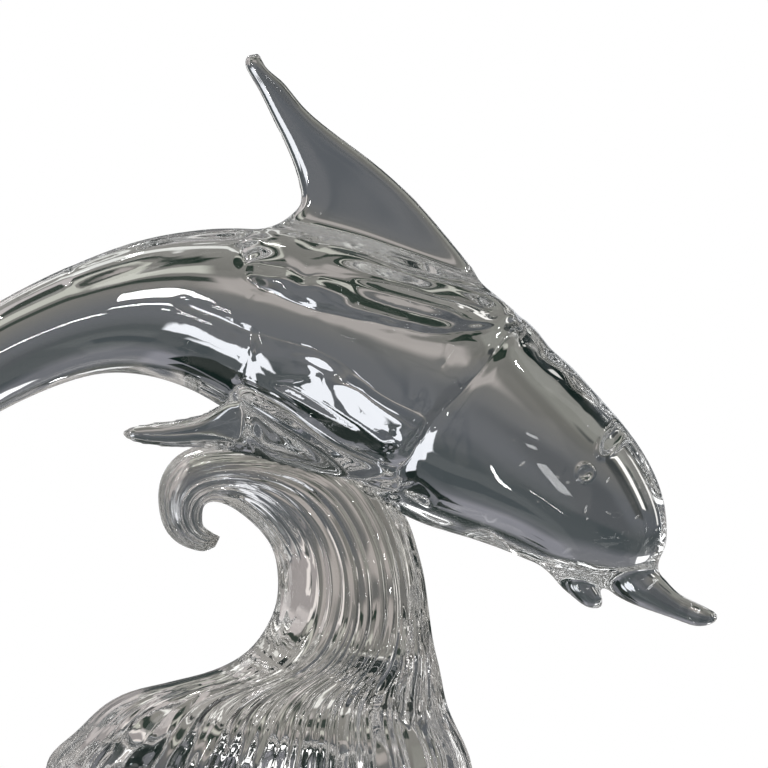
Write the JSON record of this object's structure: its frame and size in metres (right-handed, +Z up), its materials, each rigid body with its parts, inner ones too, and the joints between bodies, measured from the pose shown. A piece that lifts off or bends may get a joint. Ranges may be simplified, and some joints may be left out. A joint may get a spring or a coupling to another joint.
{
  "type": "glass dolphin sculpture",
  "caption": "Clear glass sculpture of a leaping dolphin with an open beak, resting on the crest of a curling ribbed wave that spreads into a flat-bottomed foot.",
  "frame": {"origin": "middle of the wave's flat underside", "axes": "+Z up, +X towards the dolphin's beak, the dolphin's sides face -Y and +Y"},
  "size_m": [0.4258, 0.151, 0.3447],
  "materials": {
    "dolphin_glass": "fire-polished clear glass",
    "wave_glass": "fire-polished clear glass with drawn ribs"
  },
  "bodies": {
    "root": {"dolphin": "dolphin_glass", "wave": "wave_glass"}
  },
  "joints": []
}
